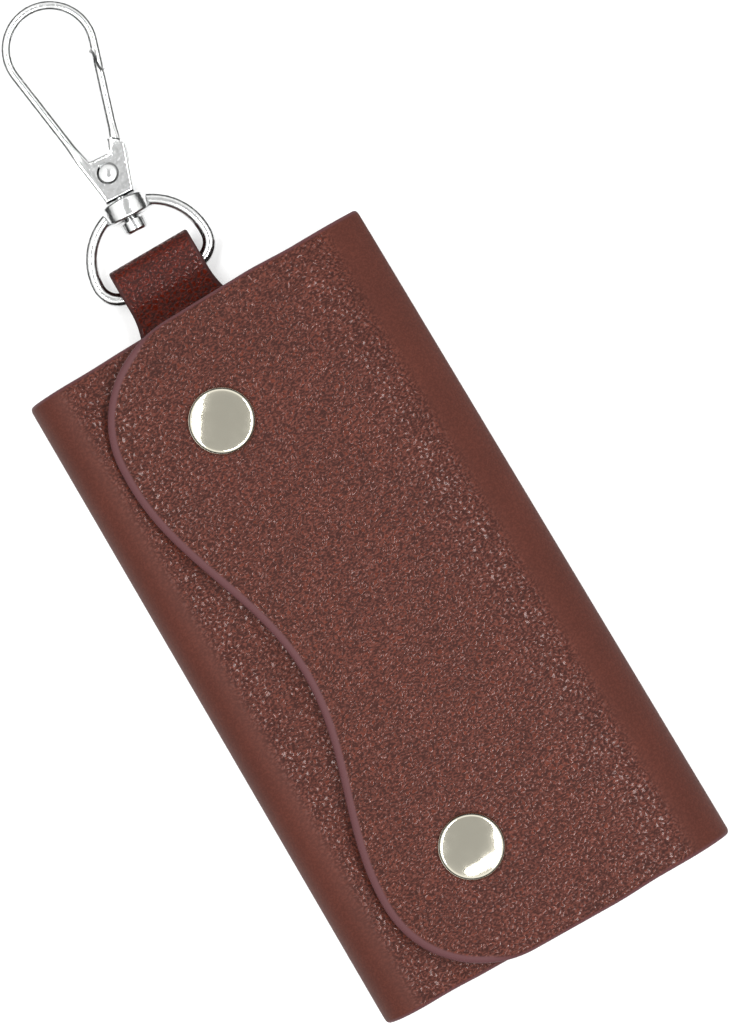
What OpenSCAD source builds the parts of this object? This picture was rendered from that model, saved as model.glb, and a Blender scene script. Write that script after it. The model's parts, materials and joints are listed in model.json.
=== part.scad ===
/* [Case] */
// Length of the closed case, from its bottom edge to its top edge
case_l = 122; // [110:1:135]
// Width of the closed case, from fold to fold
case_w = 66; // [63:1:72]
// Height of the room for keys, between the back and the under panel
room_h = 9.4; // [9:0.1:13]
// Thickness of the outer hide
hide_t = 1.3; // [1.1:0.1:1.6]
// Thickness of the lining
lining_t = 0.7; // [0.5:0.1:0.9]
// Room between the under panel and the flap, where the snap fasteners meet
snap_room = 1.2; // [1.1:0.1:1.6]
// How far the linings stop short of the hide's cut edge
edge_inset = 1.2; // [0.6:0.1:2]

/* [Flap] */
// Distance of the flap's narrow waist from the case's middle line
waist_x = 15.3; // [12:0.1:20]
// How much further the upper lobe reaches than the waist
top_lobe = 9.4; // [4:0.1:10]
// How much further the lower lobe reaches than the waist
bottom_lobe = 8.1; // [4:0.1:10]
// Distance of the upper lobe's widest part from the case's top edge
top_lobe_in = 21; // [16:1:24]
// Distance of the lower lobe's widest part from the case's bottom edge
bottom_lobe_in = 19; // [14:1:22]
// How far the flap hangs over the case's top and bottom edges
flap_over = 0.4; // [0.2:0.1:1.5]
// How far the under panel reaches past the middle line
under_reach = 6; // [5:0.1:7]

/* [Snap fasteners] */
// Diameter of a snap cap
cap_d = 11.4; // [10:0.1:13]
// Height of the cap's dome over the flap
cap_h = 1.5; // [1.2:0.1:2]
// Distance of the snaps to the left of the middle line
snap_x = 5.5; // [5:0.1:7]
// Distance of the upper snap from the case's top edge
snap_top_in = 19.5; // [16:0.1:24]
// Distance of the lower snap from the case's bottom edge
snap_bottom_in = 20.5; // [16:0.1:24]
// Diameter of the snap's socket
socket_d = 9.6; // [9:0.1:10]
// Height of the snap's socket
socket_h = 1.8; // [1.7:0.1:2.2]
// Diameter of the stud that enters the socket
stud_d = 3.9; // [3.4:0.1:4.2]
// Diameter of the post that joins the halves of a fastener
post_d = 2.6; // [2:0.1:3]

/* [Strap and ring] */
// Width of the leather strap that holds the ring
strap_w = 15.2; // [13:0.1:18]
// Thickness of the strap
strap_t = 1.1; // [0.9:0.1:1.3]
// How far the strap's loop stands out of the case
strap_out = 12; // [10:0.1:14]
// Diameter of the ring's wire
wire_d = 2.3; // [1.8:0.1:2.6]
// Outer width of the ring
ring_w = 23; // [21:0.5:26]
// Distance from the ring's bar to the middle of its crown arc
ring_rise = 3.8; // [3.4:0.1:4.4]
// Diameter of the collar that the hook turns in
collar_d = 6.6; // [6:0.1:7.5]
// Length of that collar
collar_l = 3.5; // [3:0.1:4.5]
// Lean of the ring and hook to the right, in degrees
lean = 3.3; // [0:0.1:6]

/* [Snap hook] */
// Diameter of the swivel pin
pin_d = 2.8; // [2.2:0.1:3.2]
// Diameter of the pin's peened head
pin_head_d = 4.4; // [4:0.1:5]
// Outer width of the hook's bow
hook_w = 16.9; // [15:0.1:19]
// Width of the hook's bar, seen from the front
bar_w = 2; // [1.8:0.1:2.4]
// Thickness of the bow and the gate
bar_t = 2.4; // [2:0.1:2.8]
// Thickness of the hook's base, which holds the gate between two cheeks
base_t = 3.4; // [3.2:0.1:4]
// Distance from the foot of the base to the middle of the bow
hook_rise = 27.7; // [25:0.1:32]
// How far the middle of the bow lies to the right of the swivel pin
bow_shift = 0.8; // [0.4:0.1:1.2]
// Diameter of the gate rivet's heads
rivet_head_d = 3.35; // [3:0.05:4]
// Diameter of the gate rivet's shank
rivet_d = 2; // [1.6:0.1:2.4]

/* [Key rail] */
// Number of key hooks
key_n = 6; // [6]
// Width of a key hook's bar
key_bar_w = 1.4; // [1.2:0.1:1.5]
// Thickness of a key hook
key_t = 1; // [0.8:0.1:1.2]
// Length of a key hook, from the rod to its tip
key_l = 23; // [21:0.5:28]
// Diameter of the rod that the key hooks turn on
rod_d = 2; // [1.6:0.1:2.2]
// Distance of the rod from the case's top edge
rod_inset = 20; // [18:0.5:24]
// Thickness of the rail's plate
plate_t = 0.9; // [0.7:0.1:1.2]

/* [Hidden] */
$fn = 64;
// Overrun of every cut
over = 1;
// Clearance of a pin that turns in its bore
run_gap = 0.07;
// Clearance between metal faces that move past each other
slip_gap = 0.15;
// Clearance between leather and a moving piece
soft_gap = 0.3;
// Width of the slit in the leather at each fold line
slit = 0.6;

// Heights of the closed case, from the face it lies on
wall_t = hide_t + lining_t;
left_h = 2 * wall_t + room_h;
flap_z = left_h + snap_room;
top_z = flap_z + wall_t;
left_r = left_h / 2;
right_r = top_z / 2;
half_l = case_l / 2;
half_w = case_w / 2;
left_x = left_r - half_w;
right_x = half_w - right_r;

// The flap's outline: its waist, its corners and the run of its top and bottom edges
waist_y = -2;
lobe_steps = 28;
corner_steps = 9;
corner_x = -5;
corner_in = 19;
flap_flush_x = 20;
flap_bow_x = 10;
top_lobe_y = half_l - top_lobe_in - waist_y;
bottom_lobe_y = half_l - bottom_lobe_in + waist_y;
under_corner_r = 6;

// Snap fasteners
rim_r = 0.45;
dome_share = 0.82;
stud_flange_d = 9;
stud_flange_t = 0.5;
stud_h = 1.5;
stud_tip_d = 3.2;
socket_bore_d = 5.4;
socket_roof_t = 0.45;
eyelet_d = 8.6;
eyelet_t = 0.5;
socket_z = left_h + stud_flange_t + slip_gap;
socket_top_z = socket_z + socket_h;
top_snap_y = half_l - snap_top_in;
bottom_snap_y = snap_bottom_in - half_l;

// Ring and strap, in the ring's own frame: the bar on X, the hook along Y
wire_r = wire_d / 2;
crown_r = (ring_w - wire_d) / 2;
bar_half = crown_r - ring_rise;
ring_z = collar_d / 2 + run_gap;
ring_x = -2.3;
bar_out = 6.5;
ring_y = half_l + bar_out;
collar_mid = ring_rise + crown_r - wire_r / 2;
collar_end = collar_mid + collar_l / 2;
collar_chamfer = 0.4;
shoulder_w = collar_d + 1.8;
shoulder_r = collar_l / 2 - slip_gap;
pin_head_l = 2;
pin_neck = 0.6;
loop_slack = 0.5;
loop_r = wire_r + loop_slack;
loop_out_r = loop_r + strap_t;
loop_tip_y = half_l + strap_out - loop_out_r;
loop_root_y = half_l + loop_out_r + 1.5 * strap_t;
strap_in = 10;
strap_flare = 0.5;
strap_x = -2.1;

// Snap hook, in the ring's frame
base_y = collar_end + 2 * slip_gap;
bow_r = (hook_w - bar_w) / 2;
bow_y = base_y + hook_rise;
arm_a = 11;
gate_a = 14.5;
gate_tail_a = 52;
slot_from = 5;
slot_to = 114;
bow_steps = 40;
base_h = 7.6;
base_foot_w = 5.2;
base_shares = [[-0.5, 0], [0.5, 0], [0.88, 0.85], [1.05, 1.3], [0.5, 1.35], [0.35, 1], [-0.4, 1.02],
    [-0.62, 1.05]];
pivot_up = 4.5;
pivot_y = base_y + pivot_up;
seam_r = 5.85;
tail_t = 0.8;
cheek_t = 0.6;
slot_t = base_t - 2 * cheek_t;
tail_z = -slot_t / 2 + slip_gap;
tail_r = 2.1;
tail_w = 2.4;
slot_r = tail_r + slip_gap;
rivet_head_t = 0.35;
gate_x = bow_shift + bow_r * cos(gate_a);
gate_y = bow_y - bow_r * sin(gate_a);
nose_in = 1.75;
nose_out = 5.2;
lip_slope = 0.36;
spring_wire = 0.3;
spring_turns = 2;
spring_r = rivet_d / 2 + run_gap + spring_wire;
spring_sides = 6;
spring_steps = 10;

// Key rail
key_floor = wall_t;
key_lift = 0.4;
eye_wall = 0.9;
eye_r = rod_d / 2 + eye_wall;
rod_z = key_floor + key_lift + eye_r;
rod_y = half_l - rod_inset;
rail_x = (left_x + right_x) / 2;
knuckle_l = 2.2;
key_gap = 0.7;
key_pitch = (right_x - left_x - knuckle_l - soft_gap) / key_n;
key_w = key_pitch - key_gap;
knuckle_r = eye_r + key_lift / 2;
eye_l = key_pitch - knuckle_l - 2 * slip_gap;
plate_l = key_n * key_pitch + knuckle_l;
plate_from = 0.9;
plate_w = 7.1;
plate_corner = 1.5;
rail_rivet_d = 4.4;
rail_rivet_t = 0.8;
rail_rivet_in = 9.4;
rail_rivet_up = 4.8;
key_neck_w = 3.4;
key_neck_l = 8;
key_bend_r = key_w / 2;
key_hinge_r = 0.8;
key_gate_w = 1.1;

// Points of a quarter of a rounded corner that runs from the side to the end
function corner(cx, cy, rx, ry, sx, sy, up) = [for (i = [0:corner_steps])
    let (a = (up ? i : corner_steps - i) * 90 / corner_steps)
    [cx + sx * rx * cos(a), cy + sy * ry * sin(a)]];

// Distance of the flap's free edge from the middle line at height y
function lobe(y) = y > waist_y
    ? waist_x + top_lobe * pow(sin(90 * (y - waist_y) / top_lobe_y), 2)
    : waist_x + bottom_lobe * pow(sin(90 * (waist_y - y) / bottom_lobe_y), 2);

// The flap's outline, drawn in by e from its cut edge
function flap_points(e) =
    let (end = half_l + flap_over - e, cy = half_l - corner_in)
    concat(
        [[half_w + over, half_l - e], [half_w + over, e - half_l], [flap_flush_x, e - half_l], [flap_bow_x, -end]],
        corner(corner_x, -cy, lobe(-cy) + corner_x - e, end - cy, -1, -1, false),
        [for (i = [1:lobe_steps - 1]) let (y = -cy + 2 * cy * i / lobe_steps) [e - lobe(y), y]],
        corner(corner_x, cy, lobe(cy) + corner_x - e, end - cy, -1, 1, true),
        [[flap_bow_x, end], [flap_flush_x, half_l - e]]);

// A wedge from angle a to angle b, at most a half turn
module wedge(a, b, r) {
    m = (a + b) / 2;
    polygon([[0, 0], r * [cos(a), sin(a)], 2 * r * [cos(m), sin(m)], r * [cos(b), sin(b)]]);
}

// A stretch of a fold, from angle a to angle b, of the layer between two depths of the wall
module fold(r, a, b, from, to) {
    intersection() {
        difference() {
            circle(r - from);
            circle(r - to);
        }
        wedge(a, b, 2 * r);
    }
}

// The slit at a fold line
module fold_slit(r, a) {
    rotate(a) translate([0, -slit / 2]) square([2 * r, slit]);
}

// Cross sections of the wall, each between two depths from its outer face
module back_section(from, to) {
    translate([left_x, from]) square([right_x - left_x, to - from]);
    translate([right_x, right_r]) difference() {
        fold(right_r, -90, -45, from, to);
        fold_slit(right_r, -45);
    }
    translate([left_x, left_r]) difference() {
        fold(left_r, -135, -90, from, to);
        fold_slit(left_r, -135);
    }
}

module right_spine_section(from, to) {
    translate([right_x, right_r]) difference() {
        fold(right_r, -45, 45, from, to);
        fold_slit(right_r, -45);
        fold_slit(right_r, 45);
    }
}

module left_spine_section(from, to) {
    translate([left_x, left_r]) difference() {
        fold(left_r, 135, 225, from, to);
        fold_slit(left_r, 135);
        fold_slit(left_r, 225);
    }
}

module flap_section(from, to) {
    translate([-half_w, top_z - to]) square([half_w + right_x, to - from]);
    translate([right_x, right_r]) difference() {
        fold(right_r, 45, 90, from, to);
        fold_slit(right_r, 45);
    }
}

module under_section(from, to) {
    translate([left_x, left_h - to]) square([under_reach - left_x, to - from]);
    translate([left_x, left_r]) difference() {
        fold(left_r, 90, 135, from, to);
        fold_slit(left_r, 135);
    }
}

// Runs a cross section along the case's length
module along(l) {
    rotate([90, 0, 0]) linear_extrude(l, center = true) children();
}

// A rounded rectangle between two corners, whose right-hand corners are round
module tongue(x0, x1, half, r) {
    translate([x0, -half]) square([x1 - r - x0, 2 * half]);
    translate([x1 - r, r - half]) square([r, 2 * (half - r)]);
    for (s = [-1, 1]) translate([x1 - r, s * (half - r)]) circle(r);
}

module at_snaps() {
    for (y = [top_snap_y, bottom_snap_y]) translate([-snap_x, y, 0]) children();
}

// Where the rivets of the rail and of the strap go
module at_rail_rivets() {
    for (s = [-1, 1]) translate([rail_x + s * (plate_l / 2 - rail_rivet_in), rod_y + rail_rivet_up, 0]) children();
}

module at_strap_rivet() {
    translate([strap_x, half_l - strap_in / 2, 0]) children();
}

module back_panel() {
    color("#6b413a") along(case_l) back_section(0, hide_t);
}

// The lining has a round hole for the buried disc of each rivet
module back_lining() {
    color("#2b2320") difference() {
        along(case_l - 2 * edge_inset) back_section(hide_t, wall_t);
        translate([0, 0, hide_t - over]) {
            at_rail_rivets() cylinder(h = lining_t + 2 * over, r = rail_rivet_d / 2 + slip_gap);
            at_strap_rivet() cylinder(h = lining_t + 2 * over, r = rail_rivet_d / 2 + slip_gap);
        }
    }
}

module right_spine() {
    color("#6b413a") along(case_l) right_spine_section(0, hide_t);
}

module right_spine_lining() {
    color("#2b2320") along(case_l - 2 * edge_inset) right_spine_section(hide_t, wall_t);
}

module left_spine() {
    color("#6b413a") along(case_l) left_spine_section(0, hide_t);
}

module left_spine_lining() {
    color("#2b2320") along(case_l - 2 * edge_inset) left_spine_section(hide_t, wall_t);
}

// The hide of the flap, with a seat for each socket and a hole for each post
module flap_panel() {
    color("#70463f") difference() {
        intersection() {
            along(case_l + 4 * flap_over) flap_section(0, hide_t);
            linear_extrude(top_z + over) polygon(flap_points(0));
        }
        at_snaps() {
            cylinder(h = top_z + over, r = post_d / 2 + run_gap);
            cylinder(h = socket_top_z + run_gap, r = socket_d / 2 + run_gap);
        }
    }
}

module flap_lining() {
    color("#2b2320") difference() {
        intersection() {
            along(case_l + 4 * flap_over) flap_section(hide_t, wall_t);
            linear_extrude(top_z + over) polygon(flap_points(edge_inset));
        }
        at_snaps() cylinder(h = top_z + over, r = socket_d / 2 + run_gap);
    }
}

module under_panel() {
    color("#6b413a") difference() {
        intersection() {
            along(case_l) under_section(0, hide_t);
            linear_extrude(left_h + over) tongue(-half_w - over, under_reach, half_l, under_corner_r);
        }
        at_snaps() cylinder(h = left_h + over, r = post_d / 2 + run_gap);
    }
}

module under_lining() {
    color("#2b2320") difference() {
        intersection() {
            along(case_l - 2 * edge_inset) under_section(hide_t, wall_t);
            linear_extrude(left_h + over)
                tongue(-half_w - over, under_reach - edge_inset, half_l - edge_inset, under_corner_r);
        }
        at_snaps() cylinder(h = left_h + over, r = post_d / 2 + run_gap);
    }
}

// A domed cap with a rolled rim, and the post that goes down to the socket
module snap_cap(y) {
    dome_w = cap_d / 2 - rim_r;
    dome_h = cap_h * dome_share;
    dome_r = (dome_w * dome_w + dome_h * dome_h) / (2 * dome_h);
    color("#cfd3d0") translate([-snap_x, y, top_z]) {
        rotate_extrude() {
            translate([dome_w, rim_r]) circle(rim_r, $fn = 32);
            square([dome_w, 2 * rim_r]);
            intersection() {
                translate([0, cap_h - dome_r]) circle(dome_r, $fn = 256);
                square([dome_w, cap_h]);
            }
        }
        translate([0, 0, socket_top_z - top_z]) cylinder(h = top_z - socket_top_z, d = post_d);
    }
}

// The socket: a ring with a turned-in lip below and a roof that the post is clenched to
module snap_socket(y) {
    color("#b9bdbb") translate([-snap_x, y, socket_z]) difference() {
        rotate_extrude() {
            translate([0, rim_r]) square([socket_d / 2, socket_h - 2 * rim_r]);
            square([socket_d / 2 - rim_r, socket_h]);
            translate([socket_d / 2 - rim_r, rim_r]) circle(rim_r, $fn = 32);
            translate([socket_d / 2 - rim_r, socket_h - rim_r]) circle(rim_r, $fn = 32);
        }
        translate([0, 0, -over]) cylinder(h = socket_h - socket_roof_t + over, d = socket_bore_d);
    }
}

// The stud: a flange on the under panel and a waisted nib that enters the socket
module snap_stud(y) {
    color("#b9bdbb") translate([-snap_x, y, left_h]) {
        cylinder(h = stud_flange_t, d = stud_flange_d);
        translate([0, 0, stud_flange_t]) cylinder(h = stud_h - stud_flange_t, d1 = stud_d, d2 = stud_tip_d);
    }
}

// The eyelet inside the under panel, whose post is clenched to the stud
module stud_eyelet(y) {
    color("#b9bdbb") translate([-snap_x, y, left_h - wall_t]) {
        cylinder(h = wall_t, d = post_d);
        translate([0, 0, -eyelet_t]) rotate_extrude() {
            square([eyelet_d / 2 - eyelet_t, eyelet_t]);
            intersection() {
                translate([eyelet_d / 2 - eyelet_t, eyelet_t]) circle(eyelet_t, $fn = 32);
                square([eyelet_d / 2, eyelet_t]);
            }
        }
    }
}

// The strap: two legs riveted inside the case and a loop round the ring's bar
module hook_strap() {
    mid = ring_z;
    color("#55302b") difference() {
        intersection() {
            translate([strap_x, 0, 0]) rotate([90, 0, 90]) linear_extrude(2 * strap_w, center = true) difference() {
                union() {
                    polygon([[half_l - strap_in, wall_t], [half_l, wall_t],
                        [loop_root_y, mid - loop_out_r], [loop_tip_y, mid - loop_out_r],
                        [loop_tip_y, mid + loop_out_r], [loop_root_y, mid + loop_out_r],
                        [half_l, wall_t + 2 * strap_t], [half_l - strap_in, wall_t + 2 * strap_t]]);
                    translate([loop_tip_y, mid]) circle(loop_out_r);
                }
                translate([loop_root_y, mid - loop_r]) square([loop_tip_y - loop_root_y, 2 * loop_r]);
                translate([loop_tip_y, mid]) circle(loop_r);
                translate([loop_root_y, mid]) circle(loop_r);
            }
            linear_extrude(top_z) polygon([
                [strap_x - strap_w / 2 - strap_flare, half_l - strap_in - over],
                [strap_x + strap_w / 2 + strap_flare, half_l - strap_in - over],
                [strap_x + strap_w / 2 + strap_flare, half_l],
                [strap_x + strap_w / 2, half_l + strap_out + over],
                [strap_x - strap_w / 2, half_l + strap_out + over],
                [strap_x - strap_w / 2 - strap_flare, half_l]]);
        }
        at_strap_rivet() cylinder(h = top_z, r = rod_d / 2 + run_gap);
    }
}

// A flat rivet: a domed head on top and a disc buried in the lining
module flat_rivet(grip) {
    translate([0, 0, hide_t]) {
        cylinder(h = lining_t, d = rail_rivet_d);
        cylinder(h = lining_t + grip, d = rod_d);
        translate([0, 0, lining_t + grip]) rotate_extrude() intersection() {
            translate([0, rail_rivet_t - rail_rivet_d]) circle(rail_rivet_d);
            square([rail_rivet_d / 2, rail_rivet_t]);
        }
    }
}

module strap_rivet() {
    color("#b9bdbb") at_strap_rivet() flat_rivet(2 * strap_t);
}

module rail_rivets() {
    color("#b9bdbb") at_rail_rivets() flat_rivet(plate_t);
}

// Puts the ring and the hook in place, leaning to the right
module at_ring() {
    translate([ring_x, ring_y, ring_z]) rotate([0, 0, -lean]) children();
}

// The collar's outside, with a chamfer at each end
module collar_blank() {
    translate([0, collar_mid, 0]) rotate([90, 0, 0]) rotate_extrude() polygon([
        [0, -collar_l / 2], [collar_d / 2 - collar_chamfer, -collar_l / 2],
        [collar_d / 2, collar_chamfer - collar_l / 2], [collar_d / 2, collar_l / 2 - collar_chamfer],
        [collar_d / 2 - collar_chamfer, collar_l / 2], [0, collar_l / 2]]);
}

// The ring: a straight bar, two round corners, a half-round crown, and the collar with its two shoulders,
// cast in one
module swivel_ring() {
    color("#c9cccb") at_ring() difference() {
        union() {
            rotate([0, 90, 0]) cylinder(h = 2 * bar_half, r = wire_r, center = true);
            translate([0, ring_rise, 0]) rotate_extrude(angle = 180) translate([crown_r, 0]) circle(wire_r);
            translate([bar_half, ring_rise, 0]) rotate([0, 0, -90])
                rotate_extrude(angle = 90) translate([ring_rise, 0]) circle(wire_r);
            translate([-bar_half, ring_rise, 0]) rotate([0, 0, 180])
                rotate_extrude(angle = 90) translate([ring_rise, 0]) circle(wire_r);
            collar_blank();
            translate([0, collar_mid, 0]) rotate([0, 90, 0])
                cylinder(h = shoulder_w, r = shoulder_r, center = true);
        }
        translate([0, collar_mid, 0]) rotate([90, 0, 0])
            cylinder(h = collar_l + 2 * wire_d, r = pin_d / 2 + run_gap, center = true);
    }
}

// The swivel pin, with its head peened over inside the ring
module swivel_pin() {
    head_y = collar_mid - collar_l / 2 - pin_neck;
    color("#b5b8b7") at_ring() translate([0, base_y, 0]) rotate([90, 0, 0]) {
        cylinder(h = base_y - head_y, d = pin_d);
        translate([0, 0, base_y - head_y]) {
            cylinder(h = pin_head_l - collar_chamfer, d = pin_head_d);
            translate([0, 0, pin_head_l - collar_chamfer])
                cylinder(h = collar_chamfer, d1 = pin_head_d, d2 = pin_head_d - 2 * collar_chamfer);
        }
    }
}

// The outline of the hook's base, from the foot to the round seam with the gate
module base_outline() {
    intersection() {
        translate([0, base_y]) polygon([
            for (p = base_shares) [p[0] * base_foot_w, p[1] * base_h]]);
        union() {
            translate([0, pivot_y]) circle(seam_r);
            translate([-2 * base_foot_w, base_y - over]) square([2 * base_foot_w, 2 * base_h]);
        }
    }
}

// A point of the hook given in gate coordinates: u points out of the hook, v runs up the gate to the bow
function on_gate(u, v) = [gate_x + u * cos(gate_a) + v * sin(gate_a), gate_y - u * sin(gate_a) + v * cos(gate_a)];

// A stretch of the bow's edge at radius r, from angle a to angle b
function bow_edge(r, a, b) = [for (i = [0:bow_steps])
    let (c = a + (b - a) * i / bow_steps) [bow_shift + r * cos(c), bow_y + r * sin(c)]];

// The outline of the bow, its long arm and the nose, whose end is stepped to lap over the gate
function bow_points() =
    let (out_r = bow_r + bar_w / 2, in_r = bow_r - bar_w / 2, last = 180 + arm_a,
        drop = (bow_y - base_y - base_h / 2) / cos(arm_a), way = [sin(arm_a), -cos(arm_a)],
        outer = bow_edge(out_r, -gate_a, last), inner = bow_edge(in_r, last, -gate_a))
    concat(outer,
        [outer[bow_steps] + drop * way, inner[0] + drop * way],
        inner,
        [on_gate(-bar_w / 2, lip_slope * bar_w / 2 - nose_in), on_gate(0, -nose_in),
            on_gate(0, lip_slope * bar_w / 2 - nose_out), on_gate(bar_w / 2, -nose_out)]);

// The hook's body: the bow, its long arm, the nose, and the base with its two cheeks
module hook_body() {
    color("#c9cccb") at_ring() difference() {
        union() {
            linear_extrude(bar_t, center = true) polygon(bow_points());
            linear_extrude(base_t, center = true) base_outline();
        }
        translate([0, pivot_y, 0]) {
            cylinder(h = base_t + over, r = rivet_d / 2, center = true);
            linear_extrude(slot_t, center = true) {
                circle(slot_r);
                intersection() {
                    circle(seam_r + over);
                    wedge(slot_from, slot_to, 2 * seam_r);
                }
            }
        }
    }
}

// The gate's bar, from the seam with the base to the stepped lap under the nose
module gate_outline() {
    difference() {
        polygon([on_gate(-bar_w / 2, pivot_y - gate_y), on_gate(bar_w / 2, pivot_y - gate_y),
            on_gate(bar_w / 2, -nose_out - slip_gap),
            on_gate(-slip_gap, lip_slope * bar_w / 2 - nose_out - slip_gap),
            on_gate(-slip_gap, -nose_in - slip_gap),
            on_gate(-bar_w / 2, lip_slope * bar_w / 2 - nose_in - slip_gap)]);
        translate([0, pivot_y]) circle(seam_r + slip_gap);
    }
}

// The gate: a tail that turns on the rivet between the cheeks, and a bar that closes the hook
module hook_gate() {
    color("#c2c5c4") at_ring() difference() {
        union() {
            linear_extrude(bar_t, center = true) gate_outline();
            translate([0, pivot_y, tail_z]) linear_extrude(tail_t) {
                circle(tail_r);
                rotate(gate_tail_a) translate([0, -tail_w / 2]) square([seam_r + bar_w / 2, tail_w]);
            }
        }
        translate([0, pivot_y, 0]) cylinder(h = base_t, r = rivet_d / 2 + run_gap, center = true);
    }
}

// The gate's rivet, with a low head on each cheek
module gate_rivet() {
    color("#a7aaa9") at_ring() translate([0, pivot_y, 0]) {
        cylinder(h = base_t, d = rivet_d, center = true);
        for (s = [0, 180]) rotate([s, 0, 0]) translate([0, 0, base_t / 2]) rotate_extrude() intersection() {
            translate([0, rivet_head_t - rivet_head_d]) circle(rivet_head_d);
            square([rivet_head_d / 2, rivet_head_t]);
        }
    }
}

// Points of a tube of small sides swept along a list of points that rises round Z
function tube_ring(p, a, r) = [for (k = [0:spring_sides - 1])
    let (b = k * 360 / spring_sides) p + r * [cos(a) * cos(b), sin(a) * cos(b), sin(b)]];

// The coiled spring round the rivet, above the gate's tail
module gate_spring() {
    n = spring_turns * spring_steps;
    foot = tail_z + tail_t + spring_wire / 2 + run_gap;
    climb = spring_wire * 1.1 / spring_steps;
    rings = [for (i = [0:n]) let (a = 60 + i * 360 / spring_steps)
        tube_ring([spring_r * cos(a), spring_r * sin(a), i * climb], a, spring_wire / 2)];
    m = spring_sides;
    color("#8d9190") at_ring() translate([0, pivot_y, foot])
        polyhedron([for (r = rings, q = r) q], concat(
            [[for (k = [0:m - 1]) k]],
            [for (i = [0:n - 1], k = [0:m - 1]) [i * m + k, (i + 1) * m + k, (i + 1) * m + (k + 1) % m]],
            [for (i = [0:n - 1], k = [0:m - 1]) [i * m + k, (i + 1) * m + (k + 1) % m, i * m + (k + 1) % m]],
            [[for (k = [m - 1:-1:0]) n * m + k]]));
}

// The rail: a plate riveted to the back, whose rolled edge is notched for the key hooks
module rail_plate() {
    color("#b9bdbb") difference() {
        union() {
            translate([rail_x - plate_l / 2, rod_y + plate_from, wall_t]) {
                cube([plate_l, plate_w - plate_corner, plate_t]);
                translate([plate_corner, 0, 0]) cube([plate_l - 2 * plate_corner, plate_w, plate_t]);
                for (x = [plate_corner, plate_l - plate_corner])
                    translate([x, plate_w - plate_corner, 0]) cylinder(h = plate_t, r = plate_corner);
            }
            translate([rail_x, rod_y, rod_z]) rotate([0, 90, 0])
                cylinder(h = plate_l, r = knuckle_r, center = true);
        }
        for (i = [0:key_n - 1]) translate([rail_x + (i - (key_n - 1) / 2) * key_pitch, rod_y, rod_z])
            rotate([0, 90, 0]) cylinder(h = key_pitch - knuckle_l, r = eye_r + soft_gap, center = true);
        translate([rail_x, rod_y, rod_z]) rotate([0, 90, 0])
            cylinder(h = plate_l + over, r = rod_d / 2, center = true);
        at_rail_rivets() cylinder(h = top_z, r = rod_d / 2 + run_gap);
    }
}

module rail_rod() {
    color("#b5b8b7") translate([rail_x, rod_y, rod_z]) rotate([0, 90, 0])
        cylinder(h = plate_l, d = rod_d, center = true);
}

// Middle of key hook number i
function key_x(i) = rail_x + (i - (key_n + 1) / 2) * key_pitch;

// A key hook: an eye on the rod, a neck, and an oval bow that is open on its left side
module key_hook(i) {
    bend_y = key_bend_r - key_l;
    mouth_y = bend_y + key_bar_w;
    inner_r = key_bend_r - key_bar_w;
    hinge_y = -key_neck_l;
    color("#b9bdbb") translate([key_x(i), rod_y, rod_z]) difference() {
        union() {
            rotate([0, 90, 0]) cylinder(h = eye_l, r = eye_r, center = true);
            translate([0, 0, -eye_r]) {
                translate([-key_neck_w / 2, -key_neck_l, 0]) cube([key_neck_w, key_neck_l, key_t]);
                linear_extrude(key_t) difference() {
                    union() {
                        translate([0, bend_y]) circle(key_bend_r);
                        translate([-key_bend_r, bend_y]) square([key_w, hinge_y - bend_y - key_bar_w]);
                        translate([0, hinge_y - key_bar_w]) intersection() {
                            circle(key_bend_r);
                            translate([-key_bend_r, 0]) square([key_w, key_bend_r]);
                        }
                    }
                    translate([0, bend_y]) circle(inner_r);
                    translate([-inner_r, bend_y]) square([2 * inner_r, hinge_y - bend_y - 2 * key_bar_w]);
                    translate([0, hinge_y - 2 * key_bar_w]) intersection() {
                        circle(inner_r);
                        translate([-inner_r, 0]) square([2 * inner_r, inner_r]);
                    }
                    translate([-key_w, mouth_y]) square([key_w - inner_r + slip_gap, key_hinge_y() - mouth_y]);
                    translate([key_hinge_x(), key_hinge_y()]) circle(key_hinge_r + slip_gap, $fn = 32);
                }
            }
        }
        rotate([0, 90, 0]) cylinder(h = key_pitch, r = rod_d / 2 + run_gap, center = true);
    }
}

// Place of a key gate's hinge, from the middle of its key hook's eye
function key_hinge_x() = key_bar_w / 2 - key_bend_r;
function key_hinge_y() = -key_neck_l - key_bar_w;

// The sprung gate of a key hook, with a round head that is trapped in the hook's corner
module key_gate(i) {
    mouth_y = key_bend_r - key_l + key_bar_w;
    tip_y = mouth_y + slip_gap + key_gate_w / 2;
    color("#a7aaa9") translate([key_x(i), rod_y, rod_z - eye_r]) linear_extrude(key_t) {
        translate([key_hinge_x(), key_hinge_y()]) circle(key_hinge_r, $fn = 32);
        translate([key_hinge_x() - key_gate_w / 2, tip_y]) square([key_gate_w, key_hinge_y() - tip_y]);
        translate([key_hinge_x(), tip_y]) circle(key_gate_w / 2, $fn = 32);
    }
}

back_panel();
back_lining();
right_spine();
right_spine_lining();
flap_panel();
flap_lining();
left_spine();
left_spine_lining();
under_panel();
under_lining();
snap_cap(top_snap_y);  // snap_cap_top
snap_cap(bottom_snap_y);  // snap_cap_bottom
snap_socket(top_snap_y);  // snap_socket_top
snap_socket(bottom_snap_y);  // snap_socket_bottom
snap_stud(top_snap_y);  // snap_stud_top
snap_stud(bottom_snap_y);  // snap_stud_bottom
stud_eyelet(top_snap_y);  // stud_eyelet_top
stud_eyelet(bottom_snap_y);  // stud_eyelet_bottom
hook_strap();
strap_rivet();
swivel_ring();
swivel_pin();
hook_body();
hook_gate();
gate_rivet();
gate_spring();
rail_plate();
rail_rod();
rail_rivets();
key_hook(1);  // key_hook_1
key_hook(2);  // key_hook_2
key_hook(3);  // key_hook_3
key_hook(4);  // key_hook_4
key_hook(5);  // key_hook_5
key_hook(6);  // key_hook_6
key_gate(1);  // key_gate_1
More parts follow.
